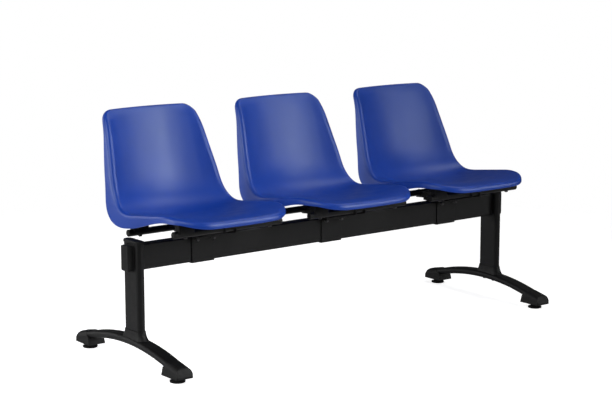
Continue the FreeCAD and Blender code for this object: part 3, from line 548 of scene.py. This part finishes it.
class BENCH_OT_fasteners(bpy.types.Operator):
    """Make the screws and bolts, and finish the nuts"""

    bl_idname = "bench.fasteners"
    bl_label = "Fasteners"

    def execute(self, context):
        look = context.scene.bench_finishes
        size = context.scene.bench_fixings
        zinc = finish_material("black_zinc", look.zinc_colour, 0.42, tint=0.12, patch=60.0,
                               bump_scale=2500.0, bump_depth=0.00001, metallic=1.0)
        names = ["glide_nuts"] + [f"column_bolts_{side}" for side in SIDES]
        for seat in SEATS:
            names += [f"shell_screws_{seat}", f"bracket_bolts_{seat}"]
        dress(names, zinc)
        for seat in SEATS:
            self.shell_screws(seat, size, zinc)
            self.bracket_bolts(seat, size, zinc)
        for side in SIDES:
            self.column_bolts(side, size, zinc)
        return {"FINISHED"}

    def shell_screws(self, seat, size, zinc):
        """Pan head screws with a hexagon socket, up through the bars."""
        work = bmesh.new()
        for bar in (f"front_bar_{seat}", f"rear_bar_{seat}"):
            low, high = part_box(bar)
            foot = -(high.z - low.z) / 2 - 0.0001
            top = foot - size.screw_head
            head = size.screw_head_diameter / 2
            shank = size.screw_diameter / 2
            socket = size.screw_socket / 2
            rings = [(HEXAGON, 0.0, top + 0.0024), (HEXAGON, socket, top + 0.0022), (HEXAGON, socket, top)]
            rings += [(ROUND, half, height) for half, height in (
                (0.72 * head, top), (0.9 * head, top + 0.0005), (0.985 * head, top + 0.0014),
                (head, top + 0.0024), (head, foot), (shank, foot), (shank, size.screw_reach - 0.001),
                (shank - 0.001, size.screw_reach), (0.0, size.screw_reach))]
            for hand in (-1, 1):
                spot = middle_of(bar) + Vector((hand * size.screw_spacing / 2, 0, 0))
                turned(work, rings, Matrix.Translation(spot) @ Matrix.Rotation(-size.seat_slope, 4, "X"))
        piece = new_piece(f"pan_screws_{seat}", work, BENCH_BODY, (zinc,))
        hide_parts(f"shell_screws_{seat}")

    def head_rings(self, size, base, top):
        """Bevelled hexagon from its seat at base to its crown at top."""
        flat = size.bolt_across / 2
        sign = 1 if top > base else -1
        return [(HEXAGON, flat, base), (HEXAGON, flat, top - sign * 0.0008), (ROUND, 0.96 * flat, top)]

    def bracket_bolts(self, seat, size, zinc):
        """Bolts with the head on the saddle plate and a nut under the lug."""
        node = f"bracket_bolts_{seat}"
        low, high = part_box(node)
        work = bmesh.new()
        flat = size.bolt_across / 2
        corner = flat / math.cos(math.pi / 6)
        shank = size.bolt_diameter / 2
        head = high.z - size.bolt_head
        nut_foot = low.z + size.bolt_tail
        nut_top = nut_foot + size.bolt_nut
        rings = [(ROUND, 0.0, nut_foot), (ROUND, 0.96 * flat, nut_foot), (HEXAGON, flat, nut_foot + 0.0008),
                 (HEXAGON, flat, nut_top - 0.0008), (ROUND, 0.96 * flat, nut_top), (ROUND, shank, nut_top),
                 (ROUND, shank, head)]
        rings += self.head_rings(size, head, high.z) + [(ROUND, 0.0, high.z)]
        for x in (low.x + corner, high.x - corner):
            for y in (low.y + flat, high.y - flat):
                place = Matrix.Translation((x, y, 0))
                turned(work, rings, place)
                thread(work, shank, size.bolt_pitch, low.z, nut_foot + 0.002, place)
        piece = new_piece(f"strap_bolts_{seat}", work, BENCH_BODY, (zinc,))
        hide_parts(node)

    def column_bolts(self, side, size, zinc):
        """Bolts from under the foot up into the column."""
        node = f"column_bolts_{side}"
        low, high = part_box(node)
        work = bmesh.new()
        flat = size.bolt_across / 2
        shank = size.bolt_diameter / 2
        for y in (low.y + flat, high.y - flat):
            crown = min(v.co.z for v in NODES[node].data.vertices if abs(v.co.y - y) < size.bolt_across)
            seat = crown + size.bolt_head
            rings = [(ROUND, 0.0, crown)] + self.head_rings(size, seat, crown)[::-1]
            rings += [(ROUND, shank, seat), (ROUND, shank, high.z), (ROUND, 0.0, high.z)]
            turned(work, rings, Matrix.Translation(((low.x + high.x) / 2, y, 0)))
        piece = new_piece(f"foot_bolts_{side}", work, BENCH_BODY, (zinc,))
        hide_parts(node)


def view_direction(azimuth, elevation):
    """Unit vector from the bench towards a view at these angles."""
    level = math.cos(elevation)
    return Vector((math.sin(azimuth) * level, -math.cos(azimuth) * level, math.sin(elevation)))


def area_lamp(name, azimuth, elevation, power, distance, size, aim=0.0, beam=math.pi):
    """Soft square lamp turned to a place along the bench, with the angle of its beam."""
    data = bpy.data.lights.new(name, "AREA")
    data.size = size
    data.energy = power
    data.spread = beam
    lamp = bpy.data.objects.new(name, data)
    bpy.context.scene.collection.objects.link(lamp)
    place = view_direction(math.radians(azimuth), math.radians(elevation)) * distance
    lamp.location = Vector((0, 0, BENCH_MIDDLE)) + place
    lamp.rotation_euler = (Vector((aim, 0, 0)) - place).to_track_quat("-Z", "Y").to_euler()


def seen_ray(nodes, share):
    """1 where the backdrop is seen directly or through something, and a share of it in reflections."""
    path = nodes.add("ShaderNodeLightPath")
    mirror = nodes.add("ShaderNodeMath", operation="MULTIPLY")
    mirror.inputs[1].default_value = share
    nodes.join(path.outputs["Is Glossy Ray"], mirror.inputs[0])
    level = path.outputs["Is Camera Ray"]
    for extra in (mirror.outputs["Value"], path.outputs["Is Transmission Ray"]):
        larger = nodes.add("ShaderNodeMath", operation="MAXIMUM")
        nodes.join(level, larger.inputs[0])
        nodes.join(extra, larger.inputs[1])
        level = larger.outputs["Value"]
    return level


class BENCH_OT_stage(bpy.types.Operator):
    """Set up the floor, the room light, the lamps and the camera"""

    bl_idname = "bench.stage"
    bl_label = "Stage"

    def execute(self, context):
        scene = context.scene
        stage = scene.bench_stage
        scene.view_settings.view_transform = "Standard"
        self.room(scene, stage)
        self.floor(scene, stage)
        near = (stage.lamp_distance, stage.lamp_size)
        far = (stage.far_distance, stage.far_size, stage.far_aim, stage.far_beam)
        # Azimuth and elevation of each lamp are in degrees.
        area_lamp("left_lamp_low", -110, 8, stage.left_low_power, *near)
        area_lamp("left_lamp_high", -75, 35, stage.left_high_power, *near)
        area_lamp("front_lamp", 18, 22, stage.front_power, *far)
        area_lamp("right_lamp_low", 42, 10, stage.right_low_power, *far)
        area_lamp("right_lamp_high", 34, 44, stage.right_high_power, *far)
        area_lamp("rear_lamp", 92, 62, stage.rear_power, *near)
        area_lamp("back_lamp", -150, 12, stage.back_power, *near)
        self.camera(scene, stage)
        return {"FINISHED"}

    def room(self, scene, stage):
        """Even light all round, with a white backdrop where it is seen."""
        world = bpy.data.worlds.new("room")
        scene.world = world
        world.use_nodes = True
        nodes = NodeTree(world.node_tree)
        output = nodes.add("ShaderNodeOutputWorld")
        light = nodes.add("ShaderNodeBackground")
        light.inputs["Color"].default_value = (1.0, 1.0, 1.0, 1.0)
        light.inputs["Strength"].default_value = stage.room_level
        white = nodes.add("ShaderNodeBackground")
        white.inputs["Color"].default_value = (1.0, 1.0, 1.0, 1.0)
        white.inputs["Strength"].default_value = 1.0
        mix = nodes.add("ShaderNodeMixShader")
        nodes.join(seen_ray(nodes, stage.mirror_share), mix.inputs["Fac"])
        nodes.join(light.outputs["Background"], mix.inputs[1])
        nodes.join(white.outputs["Background"], mix.inputs[2])
        nodes.join(mix.outputs["Shader"], output.inputs["Surface"])

    def floor(self, scene, stage):
        """Pale disc that fades into the backdrop and keeps the bench's shadow."""
        data = bpy.data.meshes.new("floor")
        work = bmesh.new()
        bmesh.ops.create_circle(work, cap_ends=True, segments=96, radius=stage.floor_radius * FLOOR_RIM)
        work.to_mesh(data)
        work.free()
        disc = bpy.data.objects.new("floor", data)
        scene.collection.objects.link(disc)
        made = bpy.data.materials.new("pale_floor")
        made.use_nodes = True
        nodes = NodeTree(made.node_tree)
        output = nodes.add("ShaderNodeOutputMaterial")
        paint = nodes.add("ShaderNodeBsdfDiffuse")
        paint.inputs["Color"].default_value = list(stage.floor_colour) + [1.0]
        glow = nodes.add("ShaderNodeEmission")
        glow.inputs["Color"].default_value = (1.0, 1.0, 1.0, 1.0)
        lift = nodes.add("ShaderNodeMath", operation="MULTIPLY")
        lift.inputs[1].default_value = stage.floor_glow
        nodes.join(seen_ray(nodes, stage.mirror_share), lift.inputs[0])
        nodes.join(lift.outputs["Value"], glow.inputs["Strength"])
        lit = nodes.add("ShaderNodeAddShader")
        nodes.join(paint.outputs["BSDF"], lit.inputs[0])
        nodes.join(glow.outputs["Emission"], lit.inputs[1])
        clear = nodes.add("ShaderNodeBsdfTransparent")
        place = nodes.add("ShaderNodeTexCoord").outputs["Object"]
        size = nodes.add("ShaderNodeVectorMath", operation="LENGTH")
        nodes.join(place, size.inputs[0])
        fade = nodes.add("ShaderNodeMapRange", interpolation_type="SMOOTHSTEP")
        fade.inputs["From Min"].default_value = stage.floor_radius * FADE_START
        fade.inputs["From Max"].default_value = stage.floor_radius
        nodes.join(size.outputs["Value"], fade.inputs["Value"])
        mix = nodes.add("ShaderNodeMixShader")
        nodes.join(fade.outputs["Result"], mix.inputs["Fac"])
        nodes.join(lit.outputs["Shader"], mix.inputs[1])
        nodes.join(clear.outputs["BSDF"], mix.inputs[2])
        nodes.join(mix.outputs["Shader"], output.inputs["Surface"])
        data.materials.append(made)

    def camera(self, scene, stage):
        """Camera at the bench's front left."""
        data = bpy.data.cameras.new("camera")
        data.lens = stage.camera_lens
        data.sensor_width = 36.0
        data.clip_end = 100.0
        camera = bpy.data.objects.new("camera", data)
        scene.collection.objects.link(camera)
        back = view_direction(stage.camera_azimuth, stage.camera_elevation)
        camera.location = stage.camera_place
        camera.rotation_mode = "QUATERNION"
        camera.rotation_quaternion = (-back).to_track_quat("-Z", "Y")
        scene.camera = camera


OPERATORS = (
    BENCH_OT_seat_shells,
    BENCH_OT_steelwork,
    BENCH_OT_trim,
    BENCH_OT_glides,
    BENCH_OT_welds,
    BENCH_OT_fasteners,
    BENCH_OT_stage,
)


class BENCH_PT_panel(bpy.types.Panel):
    """Sidebar panel that lists the steps and the sizes"""

    bl_idname = "BENCH_PT_panel"
    bl_label = "Waiting Bench"
    bl_space_type = "VIEW_3D"
    bl_region_type = "UI"
    bl_category = "Bench"

    def draw(self, context):
        layout = self.layout
        for step in OPERATORS:
            layout.operator(step.bl_idname)
        for group in (context.scene.bench_finishes, context.scene.bench_fixings, context.scene.bench_stage):
            box = layout.box()
            for name in group.__annotations__:
                box.prop(group, name)


CLASSES = (BenchFinishes, BenchFixings, BenchStage) + OPERATORS + (BENCH_PT_panel,)


def register():
    """Add the classes and the scene's settings."""
    for kind in CLASSES:
        bpy.utils.register_class(kind)
    bpy.types.Scene.bench_finishes = bpy.props.PointerProperty(type=BenchFinishes)
    bpy.types.Scene.bench_fixings = bpy.props.PointerProperty(type=BenchFixings)
    bpy.types.Scene.bench_stage = bpy.props.PointerProperty(type=BenchStage)


def unregister():
    """Take the settings and the classes away again."""
    del bpy.types.Scene.bench_stage
    del bpy.types.Scene.bench_fixings
    del bpy.types.Scene.bench_finishes
    for kind in reversed(CLASSES):
        bpy.utils.unregister_class(kind)


def main():
    """Build everything in order."""
    register()
    bpy.ops.bench.seat_shells()
    bpy.ops.bench.steelwork()
    bpy.ops.bench.trim()
    bpy.ops.bench.glides()
    bpy.ops.bench.welds()
    bpy.ops.bench.fasteners()
    bpy.ops.bench.stage()


if __name__ == "__main__":
    main()
